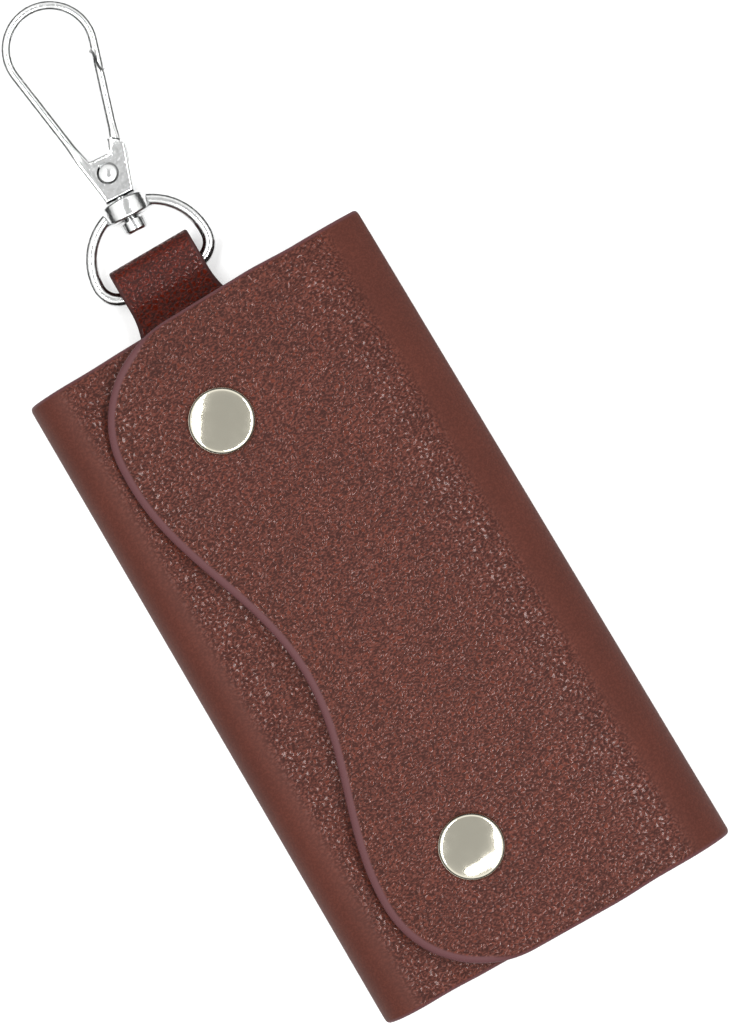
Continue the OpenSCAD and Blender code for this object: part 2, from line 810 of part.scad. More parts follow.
key_gate(2);  // key_gate_2
key_gate(3);  // key_gate_3
key_gate(4);  // key_gate_4
key_gate(5);  // key_gate_5
key_gate(6);  // key_gate_6
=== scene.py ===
import json
import math

import bmesh
import bpy
import numpy as np
from mathutils import Matrix, Vector
from mathutils.geometry import delaunay_2d_cdt


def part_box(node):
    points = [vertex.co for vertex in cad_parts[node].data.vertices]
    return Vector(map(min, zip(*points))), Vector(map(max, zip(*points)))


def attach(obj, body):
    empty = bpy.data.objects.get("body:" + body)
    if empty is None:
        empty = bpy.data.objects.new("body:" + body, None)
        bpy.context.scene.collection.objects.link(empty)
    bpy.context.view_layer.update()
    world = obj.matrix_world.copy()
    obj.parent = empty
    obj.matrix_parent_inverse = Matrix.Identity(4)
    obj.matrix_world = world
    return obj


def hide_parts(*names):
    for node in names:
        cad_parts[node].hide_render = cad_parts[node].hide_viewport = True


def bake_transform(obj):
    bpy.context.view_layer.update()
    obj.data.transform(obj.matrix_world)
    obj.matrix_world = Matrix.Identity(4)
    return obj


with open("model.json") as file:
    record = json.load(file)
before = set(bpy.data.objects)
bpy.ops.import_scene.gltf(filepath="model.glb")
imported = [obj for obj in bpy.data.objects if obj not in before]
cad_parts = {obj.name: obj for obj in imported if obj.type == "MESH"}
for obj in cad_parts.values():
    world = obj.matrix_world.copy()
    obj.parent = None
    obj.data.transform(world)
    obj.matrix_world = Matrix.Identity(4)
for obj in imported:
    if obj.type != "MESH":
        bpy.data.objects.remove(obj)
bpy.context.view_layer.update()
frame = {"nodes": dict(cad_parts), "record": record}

# The hide
# One strip of pebbled, coated leather goes round the whole case: from the under panel round the left
# fold to the back, and on round the right fold to the flap. It is cut flat with a lobed free edge, and
# its cut edges are rounded and painted.
MM = 0.001


def corner_mm(name, which):
    """A corner of a node of the model, in mm: 0 the lowest, 1 the highest."""
    return [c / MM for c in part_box(name)[which]]


def middle_mm(name):
    """The middle of a node of the model, in mm."""
    return [(low + high) / 2 for low, high in zip(corner_mm(name, 0), corner_mm(name, 1))]


def smooth_step(t):
    """Goes smoothly from 0 to 1 as t does."""
    return t * t * (3 - 2 * t)


half_l = corner_mm("back_panel", 1)[1]
half_w = corner_mm("right_spine", 1)[0]
top_z = corner_mm("flap_panel", 1)[2]
left_h = corner_mm("under_panel", 1)[2]
under_reach = corner_mm("under_panel", 1)[0]
flap_over = corner_mm("flap_panel", 1)[1] - half_l
hide_t = corner_mm("back_lining", 0)[2]
wall_t = corner_mm("rail_plate", 0)[2]
right_r = top_z / 2
left_r = left_h / 2
right_x = half_w - right_r
left_x = left_r - half_w

# Places along the strip when it lies flat, from the middle of the back
RIGHT_END = right_x + math.pi * right_r
LEFT_END = left_x - math.pi * left_r
RIGHT_MIDDLE = right_x + math.pi * right_r / 2
LEFT_MIDDLE = left_x - math.pi * left_r / 2

# How the soft leather gives way, in mm: the flap droops towards its free edge, slopes down to the right fold
# and hangs a little at both ends, and the under panel sags
FLAP_DROOP, FLAP_DROOP_FROM, FLAP_DROOP_OVER = 1.75, 6, 19
RIGHT_DROP, RIGHT_DROP_FROM, RIGHT_DROP_OVER, RIGHT_DROP_LEAN = 4.5, 12.8, 21, 0.05
END_DROP, END_DROP_OVER = 0.35, 22
SAG, SAG_MIDDLE = 1.15, -20.5

# How far the case is drawn in towards its top at both sides, and at its ends towards the left
RIGHT_TAPER, LEFT_TAPER = 1.2, 0.5
END_TAPER, END_TAPER_FROM, END_TAPER_POWER = 1.2, 44, 1.5

# The flap's ripples: their height, and each one's length along the strip, length up it, and start
RIPPLE = 0.05
RIPPLES = ((9, 23, 0), (5.3, -14, 1), (31, 8.1, 2))


def ripple(s, y):
    """The slight unevenness of soft leather, in mm."""
    return RIPPLE * sum(np.sin(s / along + y / up + start) for along, up, start in RIPPLES)


def round_the_case(s, y, depth):
    """Where a point of the flat strip comes to lie, at a depth below the outer face."""
    s, y, depth = np.broadcast_arrays(s, y, depth)
    x, z = s.copy(), depth.copy()
    for centre, end, radius, way in ((right_x, RIGHT_END, right_r, 1), (left_x, LEFT_END, left_r, -1)):
        on = (s - centre) * way > 0
        angle = np.clip((s - centre) * way / radius, 0, math.pi) - math.pi / 2
        x = np.where(on, centre + way * (radius - depth) * np.cos(angle), x)
        z = np.where(on, radius + (radius - depth) * np.sin(angle), z)
        x = np.where((s - end) * way > 0, centre - (s - end), x)
    on_top = s > RIGHT_MIDDLE
    rise = np.clip((z - right_r) / right_r, 0, 1)
    drop = RIGHT_DROP * np.clip((x - RIGHT_DROP_FROM + RIGHT_DROP_LEAN * y) / RIGHT_DROP_OVER, 0, None) ** 2
    droop = FLAP_DROOP * np.clip((-x - FLAP_DROOP_FROM) / FLAP_DROOP_OVER, 0, None) ** 2
    end_drop = END_DROP * np.clip((abs(y) - half_l + END_DROP_OVER) / END_DROP_OVER, 0, None) ** 2
    z = np.where(on_top, z - rise * (drop + droop + end_drop) + rise * ripple(s, y), z)
    sag = SAG * np.clip(1 - ((x - SAG_MIDDLE) / (SAG_MIDDLE - left_x)) ** 2, 0, 1) ** 2
    z = np.where(s < LEFT_END, z - sag, z)
    near_end = np.clip((abs(y) - END_TAPER_FROM) / (half_l - END_TAPER_FROM), 0, None) ** END_TAPER_POWER
    y = y - np.sign(y) * END_TAPER * near_end * np.clip((half_w - x) / (2 * half_w), 0, 1)
    up = np.clip((y + half_l) / (2 * half_l), 0, 1)
    at_right, at_left = np.clip(x / half_w, 0, 1), np.clip(-x / half_w, 0, 1)
    x = x - up * (RIGHT_TAPER * at_right ** 2 - LEFT_TAPER * at_left ** 2)
    return np.stack([x, y, z], -1)


def away_from(points, a, b):
    """Distance of each point from the nearest of the edges that run from a to b."""
    along = b - a
    best = np.full(len(points), np.inf)
    for start, run in zip(a, along):
        t = np.clip((points - start) @ run / (run @ run), 0, 1)
        best = np.minimum(best, np.linalg.norm(points - start - t[:, None] * run, axis=1))
    return best


def inside(points, loop):
    """Which of the points lie inside a closed outline."""
    found = np.zeros(len(points), bool)
    for (x0, y0), (x1, y1) in zip(loop, np.roll(loop, -1, 0)):
        if y0 != y1:
            crossing = (points[:, 1] < y0) != (points[:, 1] < y1)
            found ^= crossing & (points[:, 0] < x0 + (points[:, 1] - y0) * (x1 - x0) / (y1 - y0))
    return found


SAME_POINT, SAME_LINE = 0.02, 1e-5


def clean_outline(outline):
    """Drops corners that repeat, and puts the outline anticlockwise."""
    points = [p for p, q in zip(outline, outline[-1:] + outline[:-1]) if math.dist(p, q) > SAME_POINT]
    area = sum(p[0] * q[1] - q[0] * p[1] for p, q in zip(points, points[1:] + points[:1]))
    return points if area > 0 else points[::-1]


def spaced(outline, pitch):
    """Points along a closed outline, no further apart than the pitch."""
    corners = np.array(clean_outline(outline), float)
    loop = []
    for a, b in zip(corners, np.roll(corners, -1, 0)):
        parts = max(1, math.ceil(np.linalg.norm(b - a) / pitch - 0.01))
        loop += [a + (b - a) * i / parts for i in range(parts)]
    return np.array(loop)


def rows_inward(loop, cut, steps):
    """The outline's points, and rows of points that follow its cut edges at the steps inwards."""
    run = np.roll(loop, -1, 0) - loop
    run /= np.linalg.norm(run, axis=1)[:, None]
    normal = np.stack([-run[:, 1], run[:, 0]], -1) * cut[:, None]
    both = normal + np.roll(normal, 1, 0)
    keep = np.linalg.norm(both, axis=1) > 0.1
    both[keep] /= np.linalg.norm(both[keep], axis=1)[:, None]
    lean = np.maximum((both * normal).sum(1), (both * np.roll(normal, 1, 0)).sum(1))
    inward = both[keep] / np.maximum(lean[keep], 0.5)[:, None]
    return [loop] + [loop[keep] + inward * step for step in steps]


# Shares of the pitch by which a sheet's inner points keep clear of its edges and of its holes
EDGE_CLEAR_SHARE, HOLE_CLEAR_SHARE = 0.45, 0.4


def points_within(loop, cut, deep, pitch):
    """A grid of points inside the outline, clear of its seams and of the rows that go deep along its cuts."""
    after = np.roll(loop, -1, 0)
    low, high = loop.min(0), loop.max(0)
    counts = np.ceil((high - low) / pitch).astype(int) + 1
    along, up = (np.linspace(low[i], high[i], counts[i]) for i in (0, 1))
    grid = np.stack(np.meshgrid(along, up, indexing="ij"), -1).reshape(-1, 2)
    clear = inside(grid, loop)
    clear[clear] &= away_from(grid[clear], loop[cut], after[cut]) > deep + EDGE_CLEAR_SHARE * pitch
    if not cut.all():
        clear[clear] &= away_from(grid[clear], loop[~cut], after[~cut]) > EDGE_CLEAR_SHARE * pitch
    return grid[clear]


# Distances from a cut edge of the rows of points that round it off
EDGE_STEPS = (0.05, 0.14, 0.28, 0.45, 0.65, 0.9, 1.25)

# Sides of a hole, and the share of its radius within which the sheet is left out
HOLE_SIDES, HOLE_OPEN_SHARE = 48, 0.995


def rounded(depth, rounding, seat=None):
    """The faces of a sheet between two depths: each is rounded off near the cut edge over a width and a
    depth, and a seat can be sunk into the inner one."""
    def faces(points, edge):
        drops = [d * (1 - np.sqrt(1 - np.clip(1 - edge / w, 0, 1) ** 2)) for w, d in rounding]
        inner = depth[1] - drops[1]
        return depth[0] + drops[0], seat(points, inner) if seat else inner
    return faces


def cut_sheet(name, finish, outline, seam, lay, faces_at, pitch=0.9, holes=(), steps=EDGE_STEPS,
              marks=None):
    """A sheet cut to an outline in mm and laid in place. faces_at gives its two faces' depths. The parts of
    the outline for which seam is true join on to something, and count as no cut edge. marks gives values for
    the finish to use."""
    loop = spaced(outline, pitch)
    after = np.roll(loop, -1, 0)
    cut = ~(seam(loop) & seam(after) & seam((loop + after) / 2))
    rows = rows_inward(loop, cut, steps)
    grid = points_within(loop, cut, steps[-1], pitch)
    rings = []
    for u, v, r in holes:
        grid = grid[np.hypot(grid[:, 0] - u, grid[:, 1] - v) > r + HOLE_CLEAR_SHARE * pitch]
        turn = np.linspace(0, 2 * math.pi, HOLE_SIDES, endpoint=False)
        rings.append(np.stack([u + r * np.cos(turn), v + r * np.sin(turn)], -1))
    points = np.concatenate(rows + [grid] + rings)
    links = [(i, (i + 1) % len(loop)) for i in range(len(loop))]
    first = sum(map(len, rows)) + len(grid)
    for ring in rings:
        links += [(first + i, first + (i + 1) % len(ring)) for i in range(len(ring))]
        first += len(ring)
    flat, _, faces, *_ = delaunay_2d_cdt([tuple(p) for p in points], links, [], 1, SAME_LINE)
    flat = np.array(flat, float)
    faces = [f for f in faces if all(
        math.hypot(*(flat[list(f)].mean(0) - (u, v))) > HOLE_OPEN_SHARE * r for u, v, r in holes)]
    used = sorted({i for f in faces for i in f})
    order = {old: new for new, old in enumerate(used)}
    faces = [[order[i] for i in f] for f in faces]
    flat = flat[used]
    edge = away_from(flat, loop[cut], after[cut])
    outer, inner = faces_at(flat, edge)
    n = len(flat)
    places = np.concatenate([lay(flat[:, 0], flat[:, 1], outer), lay(flat[:, 0], flat[:, 1], inner)]) * MM
    sides = {}
    for f in faces:
        for a, b in zip(f, f[1:] + f[:1]):
            sides[(a, b)] = True
    walls = [[b, a, a + n, b + n] for a, b in sides if (b, a) not in sides]
    mesh = bpy.data.meshes.new(name)
    mesh.from_pydata(places.tolist(), [], faces + [[i + n for i in reversed(f)] for f in faces] + walls)
    mesh.materials.append(finish)
    for key, values in (marks(flat, edge) if marks else {}).items():
        on_each_face = np.tile(values, 2).astype(np.float32)
        mesh.attributes.new(key, "FLOAT", "POINT").data.foreach_set("value", on_each_face)
    return finish_mesh(mesh, name)


def finish_mesh(mesh, name, sharp=50):
    """Turns the faces outwards, smooths them up to an angle, and makes the piece."""
    work = bmesh.new()
    work.from_mesh(mesh)
    bmesh.ops.recalc_face_normals(work, faces=work.faces)
    work.to_mesh(mesh)
    work.free()
    for face in mesh.polygons:
        face.use_smooth = True
    mesh.set_sharp_from_angle(angle=math.radians(sharp))
    piece = bpy.data.objects.new(name, mesh)
    bpy.context.scene.collection.objects.link(piece)
    return piece


def colour(code):
    """A colour given as sRGB hex, turned to linear."""
    parts = [int(code[i:i + 2], 16) / 255 for i in (1, 3, 5)]
    return [p / 12.92 if p <= 0.04045 else ((p + 0.055) / 1.055) ** 2.4 for p in parts] + [1]


def new_finish(name):
    """A new material, with its nodes and its shader."""
    finish = bpy.data.materials.new(name)
    finish.use_nodes = True
    return finish, finish.node_tree, finish.node_tree.nodes["Principled BSDF"]


def fill(tree, node, **inputs):
    """Sets or links a node's inputs, given by name or, as _0, _1 and so on, by number."""
    for key, value in inputs.items():
        which = int(key[1:]) if key[1:].isdigit() else key.replace("_", " ")
        if isinstance(value, bpy.types.NodeSocket):
            tree.links.new(value, node.inputs[which])
        else:
            node.inputs[which].default_value = value


def add(tree, kind, settings=(), **inputs):
    """Adds a node with its settings and its inputs."""
    made = tree.nodes.new(kind)
    for key, value in dict(settings).items():
        setattr(made, key, value)
    fill(tree, made, **inputs)
    return made


TIMES = {"operation": "MULTIPLY"}
TIMES_PLUS = {"operation": "MULTIPLY_ADD"}
SCALED = {"operation": "SCALE"}
SOFTLY = {"interpolation_type": "SMOOTHSTEP"}
IN_COLOUR = {"data_type": "RGBA"}


def painted_shade_in_gaps(tree, colour_in, reach, deepest, shut=0.1, clear=0.75):
    """Darkens a colour where little light gets in, from ambient occlusion: painted shade in seams, gaps and
    under edges.
    """
    open_air = add(tree, "ShaderNodeAmbientOcclusion", {"samples": 6}, Distance=reach * MM).outputs["AO"]
    level = add(tree, "ShaderNodeMapRange", SOFTLY, Value=open_air, From_Min=shut, From_Max=clear,
                To_Min=deepest, To_Max=1.0).outputs[0]
    return add(tree, "ShaderNodeVectorMath", SCALED, _0=colour_in, Scale=level).outputs[0]


# The leather's pattern, in mm: the pebbles, how far and how fast their outlines wander, the finer grain,
# which is stretched across the picture, and faint clouds of colour
PEBBLE, PEBBLE_H = 0.92, 0.045
WANDER, WANDER_OVER = 0.8, 1.7
GRAIN, GRAIN_H, GRAIN_STRETCH, GRAIN_TURN = 0.3, 0.022, 0.62, -30
BLOTCH = 9

# Roughness of the leather's crests, its valleys, its drawn stretches and its paint, and how much the clear
# coat shines
GLOSS, DULL, DRAWN_SATIN, PAINT_SATIN, COAT_SHINE = 0.15, 0.7, 0.62, 0.6, 0.22

# How far the paint fades out on either side of its width
PAINT_FADE_IN, PAINT_FADE_OUT = 0.15, 0.3


def pebbled_leather(name, crest, valley, paint, paint_w):
    """Split leather with a coat of polyurethane, embossed with soft pebbles and a finer grain: satin crests,
    darker and duller valleys, a grain drawn flat round the folds, and a band of plain paint, paint_w mm wide,
    along the cut edges."""
    finish, tree, shader = new_finish(name)
    place = add(tree, "ShaderNodeTexCoord").outputs["Object"]
    warp = add(tree, "ShaderNodeTexNoise", Vector=place, Scale=1 / (WANDER_OVER * MM), Detail=2.0)
    shift = add(tree, "ShaderNodeVectorMath", TIMES_PLUS, _0=warp.outputs["Color"], _1=(WANDER * MM,) * 3,
                _2=place).outputs[0]
    creases = add(tree, "ShaderNodeTexVoronoi", {"feature": "DISTANCE_TO_EDGE"}, Vector=shift,
                  Scale=1 / (PEBBLE * MM)).outputs["Distance"]
    pebble = add(tree, "ShaderNodeMapRange", SOFTLY, Value=creases, From_Max=0.36).outputs[0]
    slant = add(tree, "ShaderNodeMapping", Vector=shift, Rotation=(0, 0, math.radians(GRAIN_TURN)),
                Scale=(GRAIN_STRETCH, 1, 1)).outputs[0]
    grain = add(tree, "ShaderNodeTexNoise", Vector=slant, Scale=1 / (GRAIN * MM), Detail=1.0).outputs["Fac"]
    blotch = add(tree, "ShaderNodeTexNoise", Vector=place, Scale=1 / (BLOTCH * MM), Detail=2.0).outputs["Fac"]
    edge = add(tree, "ShaderNodeAttribute", {"attribute_name": "edge_mm"}).outputs["Fac"]
    drawn = add(tree, "ShaderNodeAttribute", {"attribute_name": "drawn"}).outputs["Fac"]
    plain = add(tree, "ShaderNodeMapRange", SOFTLY, Value=edge, From_Min=paint_w - PAINT_FADE_IN,
                From_Max=paint_w + PAINT_FADE_OUT).outputs[0]

    # Drawn leather keeps a quarter of its relief and of its changes of colour, and paint covers the relief
    loose = add(tree, "ShaderNodeMath", TIMES_PLUS, _0=drawn, _1=-0.75, _2=1.0).outputs[0]
    free = add(tree, "ShaderNodeMath", TIMES, _0=plain, _1=loose).outputs[0]
    soft = add(tree, "ShaderNodeMath", TIMES, _0=pebble, _1=PEBBLE_H).outputs[0]
    height = add(tree, "ShaderNodeMath", TIMES_PLUS, _0=grain, _1=GRAIN_H, _2=soft).outputs[0]
    relief = add(tree, "ShaderNodeMath", TIMES, _0=height, _1=free).outputs[0]
    bump = add(tree, "ShaderNodeBump", Strength=1.0, Distance=MM, Height=relief).outputs[0]

    # The colour follows the fine grain, and the pebbles only a little
    mostly = add(tree, "ShaderNodeMath", TIMES_PLUS, _0=pebble, _1=0.13, _2=grain).outputs[0]
    crests = add(tree, "ShaderNodeMapRange", Value=mostly, From_Min=0.42, From_Max=0.74).outputs[0]
    part_way = add(tree, "ShaderNodeMath", {"operation": "SUBTRACT"}, _0=crests, _1=0.5).outputs[0]
    level = add(tree, "ShaderNodeMath", TIMES_PLUS, _0=part_way, _1=loose, _2=0.5).outputs[0]
    skin = add(tree, "ShaderNodeMix", IN_COLOUR, _0=level, _6=colour(valley), _7=colour(crest)).outputs[2]
    tone = add(tree, "ShaderNodeMapRange", Value=blotch, From_Min=0.3, From_Max=0.7, To_Min=0.94,
               To_Max=1.06).outputs[0]
    toned = add(tree, "ShaderNodeVectorMath", SCALED, _0=skin, Scale=tone).outputs[0]
    painted = add(tree, "ShaderNodeMix", IN_COLOUR, _0=plain, _6=colour(paint), _7=toned).outputs[2]

    # The tops of the pebbles are smoothest, and sparkle where the light falls from the side
    top = add(tree, "ShaderNodeMath", TIMES, _0=pebble, _1=level).outputs[0]
    dull = add(tree, "ShaderNodeMapRange", SOFTLY, Value=top, From_Min=0.05, From_Max=0.4, To_Min=DULL,
               To_Max=GLOSS).outputs[0]
    eased = add(tree, "ShaderNodeMix", _0=drawn, _2=dull, _3=DRAWN_SATIN).outputs[0]
    satin = add(tree, "ShaderNodeMix", _0=plain, _2=PAINT_SATIN, _3=eased).outputs[0]
    # Painted shade: the leather's colour is darkened where little light gets in, as under the flap's edge and
    # round the caps
    shaded = painted_shade_in_gaps(tree, painted, reach=1.5, deepest=0.15)
    fill(tree, shader, Base_Color=shaded, Roughness=satin, Normal=bump, Specular_IOR_Level=COAT_SHINE)
    return finish


# The flap's free edge: its waist and the two lobes, each with its reach or distance and its height or span
waist, waist_y = 15.3, -2
top_lobe, top_lobe_y = 9.4, 42
bottom_lobe, bottom_lobe_y = 8.1, 40

# Where the lobes' round corners start, and where the flap's ends bow out over the case
flap_corner_x, flap_corner_in = -5, 19
flap_flush_x, flap_bow_x = 20, 10
under_corner = 6
SNAPS = [middle_mm(name)[:2] for name in ("snap_cap_bottom", "snap_cap_top")]
socket_r, socket_sunk = 4.8, 0.6

# Width and depth of the rounding along the hide's outer and inner edge
HIDE_ROUNDING = ((1.0, 0.62), (0.5, 0.42))


def free_edge(y):
    """Distance of the flap's lobed edge from the middle line at height y."""
    up = y > waist_y
    reach, span = (top_lobe, top_lobe_y) if up else (bottom_lobe, bottom_lobe_y)
    return waist + reach * math.sin(math.pi / 2 * abs(y - waist_y) / span) ** 2


def on_flap(x):
    """Place along the strip of a point of the flap at x."""
    return RIGHT_END + right_x - x


def flap_outline(inset=0):
    """The flap's cut shape on the flat strip, from the middle of the right fold, drawn in by the inset."""
    end = half_l + flap_over - inset
    points = [(RIGHT_MIDDLE, half_l - inset), (RIGHT_MIDDLE, inset - half_l)]
    bow = [(on_flap(flap_flush_x + (flap_bow_x - flap_flush_x) * t),
            half_l - inset + flap_over * smooth_step(t)) for t in np.linspace(0, 1, 25)]
    points += [(s, -y) for s, y in bow]

    def corner(side, turn):
        reach = free_edge(side * (half_l - flap_corner_in)) + flap_corner_x - inset
        depth = end - half_l + flap_corner_in
        return [(on_flap(flap_corner_x - reach * math.sin(a)),
                 side * (half_l - flap_corner_in + depth * math.cos(a))) for a in turn]

    quarter = np.linspace(0, math.pi / 2, 25)
    points += corner(-1, quarter)
    span = half_l - flap_corner_in
    points += [(on_flap(inset - free_edge(y)), y) for y in np.linspace(-span, span, 121)[1:-1]]
    points += corner(1, quarter[::-1])
    return points + bow[::-1]


def under_outline(inset=0):
    """The under panel's cut shape on the flat strip, from the middle of the left fold."""
    end = LEFT_END - (under_reach - left_x) + inset
    top = half_l - inset
    corner = [(end + under_corner * (1 - math.sin(a)), top - under_corner * (1 - math.cos(a)))
              for a in np.linspace(0, math.pi / 2, 13)]
    return [(LEFT_MIDDLE, -top), (LEFT_MIDDLE, top)] + corner + [(s, -y) for s, y in corner[::-1]]


def band_outline(a, b, inset=0):
    """A plain stretch of the strip from a to b."""
    top = half_l - inset
    return [(a, -top), (b, -top), (b, top), (a, top)]


def socket_seat(points, inner):
    """The hide is thinned from inside where a socket is pressed in."""
    for x, y in SNAPS:
        near = np.hypot(points[:, 0] - on_flap(x), points[:, 1] - y) < socket_r
        inner = np.where(near, hide_t - socket_sunk, inner)
    return inner


def bend_at_fold(piece):
    """Bakes the piece's placing into its mesh. It does not bend at the folds."""
    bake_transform(piece)


def across_at(*places):
    """The seams that run across the strip at the places."""
    return lambda points: np.min([abs(points[:, 0] - s) for s in places], axis=0) < 1e-6


STRIP = {
    "back_right": (lambda inset: band_outline(0, RIGHT_MIDDLE, inset), across_at(0, RIGHT_MIDDLE)),
    "flap": (flap_outline, across_at(RIGHT_MIDDLE)),
    "back_left": (lambda inset: band_outline(LEFT_MIDDLE, 0, inset), across_at(0, LEFT_MIDDLE)),
    "under": (under_outline, across_at(LEFT_MIDDLE)),
}
hide_leather = pebbled_leather("pebbled_brown_leather", "#613126", "#321109", "#563436", 1.2)


# The grain is drawn flat between these places along the strip, and comes back over a width. The paint is
# narrower along the strip's two ends
DRAWN_FROM_TO, DRAWN_EASE = ((right_x + 2, RIGHT_END), (LEFT_END - 1.2, left_x)), 2.5
END_PAINT_LESS, END_PAINT_FROM, END_PAINT_EASE = 0.8, 2.5, 2


def hide_marks(flat, edge):
    """Distance from the cut edge, and how far the grain is drawn flat."""
    past = [np.maximum(low - flat[:, 0], flat[:, 0] - high) for low, high in DRAWN_FROM_TO]
    at_end = np.clip((abs(flat[:, 1]) - half_l + END_PAINT_FROM) / END_PAINT_EASE, 0, 1)
    return {"edge_mm": edge + END_PAINT_LESS * at_end,
            "drawn": smooth_step(np.clip(-np.minimum(*past) / DRAWN_EASE, 0, 1))}


HIDE_NODES = {"back_right": ["back_panel"], "flap": ["flap_panel", "right_spine"],
              "back_left": [], "under": ["under_panel", "left_spine"]}
for part, (outline, seam) in STRIP.items():
    faces = rounded((0, hide_t), HIDE_ROUNDING, socket_seat if part == "flap" else None)
    piece = cut_sheet("hide_" + part, hide_leather, outline(0), seam, round_the_case, faces, marks=hide_marks)
    bend_at_fold(piece)
    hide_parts(*HIDE_NODES[part])

# The lining
# A woven lining cloth is glued to the inside of the whole strip and stops just short of its cut edges.
# It is dark brown polyester, and each snap's socket is set through it.
edge_inset = half_l - corner_mm("back_lining", 1)[1]
THREAD, THREAD_H = 0.35, 0.06
LINING_ROUNDING = ((0.2, 0.1), (0.4, 0.25))


def woven_lining(name, base, dark):
    """Plain-woven polyester: a fine square weave, dull with a slight sheen."""
    finish, tree, shader = new_finish(name)
    place = add(tree, "ShaderNodeTexCoord").outputs["Object"]
    apart = add(tree, "ShaderNodeSeparateXYZ", _0=place)
    waves = []
    for axis in ("X", "Y"):
        turn = add(tree, "ShaderNodeMath", TIMES, _0=apart.outputs[axis], _1=math.pi / (THREAD * MM))
        waves.append(add(tree, "ShaderNodeMath", {"operation": "SINE"}, _0=turn.outputs[0]).outputs[0])
    weave = add(tree, "ShaderNodeMath", TIMES, _0=waves[0], _1=waves[1]).outputs[0]
    level = add(tree, "ShaderNodeMapRange", Value=weave, From_Min=-1.0, From_Max=1.0).outputs[0]
    mix = add(tree, "ShaderNodeMix", IN_COLOUR, _0=level, _6=colour(dark), _7=colour(base)).outputs[2]
    bump = add(tree, "ShaderNodeBump", Strength=0.5, Distance=THREAD_H * MM, Height=level).outputs[0]
    fill(tree, shader, Base_Color=mix, Roughness=0.8, Normal=bump, Sheen_Weight=0.15)
    return finish


lining_cloth = woven_lining("woven_lining", "#3a2a26", "#221714")
LINING_NODES = {"back_right": ["back_lining"], "flap": ["flap_lining", "right_spine_lining"],
                "back_left": [], "under": ["under_lining", "left_spine_lining"]}
snap_holes = [(on_flap(x), y, socket_r) for x, y in SNAPS]
for part, (outline, seam) in STRIP.items():
    piece = cut_sheet("lining_" + part, lining_cloth, outline(edge_inset), seam, round_the_case,
                      rounded((hide_t, wall_t), LINING_ROUNDING), pitch=1.1,
                      holes=snap_holes if part == "flap" else ())
    bend_at_fold(piece)
    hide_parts(*LINING_NODES[part])

# The snap caps
# Two domed caps of nickel-plated brass, pressed with a rolled rim and clenched through the flap to their
# sockets. The plate is polished, with fine wear.
cap_r, cap_h, dome_r, shoulder, cap_sunk = 5.75, 1.5, 28, 0.9, 0.04


def polished_nickel(name, tint, rough, wear, marks=3.0, marks_h=0.01):
    """Polished nickel plate: a warm mirror whose sharpness changes a little with handling. The marks of that
    are given by their size and height in mm."""
    finish, tree, shader = new_finish(name)
    place = add(tree, "ShaderNodeTexCoord").outputs["Object"]
    smear = add(tree, "ShaderNodeTexNoise", Vector=place, Scale=1 / (marks * MM), Detail=3.0).outputs["Fac"]
    dull = add(tree, "ShaderNodeMapRange", Value=smear, From_Min=0.35, From_Max=0.75, To_Min=rough,
               To_Max=rough + wear).outputs[0]
    wave = add(tree, "ShaderNodeBump", Strength=1.0, Distance=marks_h * MM, Height=smear).outputs[0]
    metal = add(tree, "ShaderNodeRGB").outputs[0]
    metal.default_value = colour(tint)
    # Painted shade: the plate's colour is darkened in its seams, round the rivet and under the collar, where
    # little light gets in
    shaded = painted_shade_in_gaps(tree, metal, reach=1.0, deepest=0.03, shut=0.2, clear=0.85)
    fill(tree, shader, Base_Color=shaded, Roughness=dull, Normal=wave, Metallic=1.0)
    return finish


def turned(name, profile, sides=96):
    """A piece turned round an upright axis from a profile of radius and height, in mm."""
    work = bmesh.new()
    points = [work.verts.new((r * MM, 0, z * MM)) for r, z in profile]
    edges = [work.edges.new(pair) for pair in zip(points, points[1:])]
    bmesh.ops.spin(work, geom=points + edges, axis=(0, 0, 1), cent=(0, 0, 0), steps=sides, angle=2 * math.pi,
                   use_merge=True)
    bmesh.ops.remove_doubles(work, verts=work.verts, dist=1e-7)
    mesh = bpy.data.meshes.new(name)
    work.to_mesh(mesh)
    work.free()
    return finish_mesh(mesh, name)


def bake(piece, name):
    """Turns what the piece's nodes make into a plain mesh, and takes the piece away."""
    seen = piece.evaluated_get(bpy.context.evaluated_depsgraph_get())
    mesh = bpy.data.meshes.new_from_object(seen)
    mesh.name = name
    bpy.data.objects.remove(piece)
    made = bpy.data.objects.new(name, mesh)
    bpy.context.scene.collection.objects.link(made)
    return made


def run_nodes(piece, tree, name, **values):
    """Runs a node tree on the piece with the named inputs set, and bakes the result."""
    piece.name = name + "_source"
    modifier = piece.modifiers.new(tree.name, "NODES")
    modifier.node_group = tree
    for socket in tree.interface.items_tree:
        if socket.name in values:
            modifier[socket.identifier] = values[socket.name]
    return bake(piece, name)


def node_tree(name, **inputs):
    """An empty geometry node tree with named inputs, and its two end nodes."""
    tree = bpy.data.node_groups.new(name, "GeometryNodeTree")
    tree.interface.new_socket("Geometry", in_out="OUTPUT", socket_type="NodeSocketGeometry")
    tree.interface.new_socket("Geometry", in_out="INPUT", socket_type="NodeSocketGeometry")
    for key, kind in inputs.items():
        tree.interface.new_socket(key, in_out="INPUT", socket_type="NodeSocket" + kind)
    return tree, tree.nodes.new("NodeGroupInput"), tree.nodes.new("NodeGroupOutput")


def close_tree(tree, ends, shape, finish):
    """Ends a tree in Realize Instances and Set Material."""
    real = add(tree, "GeometryNodeRealizeInstances", _0=shape)
    dressed = add(tree, "GeometryNodeSetMaterial", _0=real.outputs[0], Material=finish)
    tree.links.new(dressed.outputs[0], ends.inputs[0])


pair_tree, start, ends = node_tree("a_pair_of_fasteners", First="Vector", Apart="Vector", Finish="Material")
line = add(pair_tree, "GeometryNodeMeshLine", {"mode": "OFFSET"}, Count=2, Offset=start.outputs["Apart"],
           Start_Location=start.outputs["First"]).outputs[0]
placed = add(pair_tree, "GeometryNodeInstanceOnPoints", Points=line, Instance=start.outputs["Geometry"])
close_tree(pair_tree, ends, placed.outputs[0], start.outputs["Finish"])

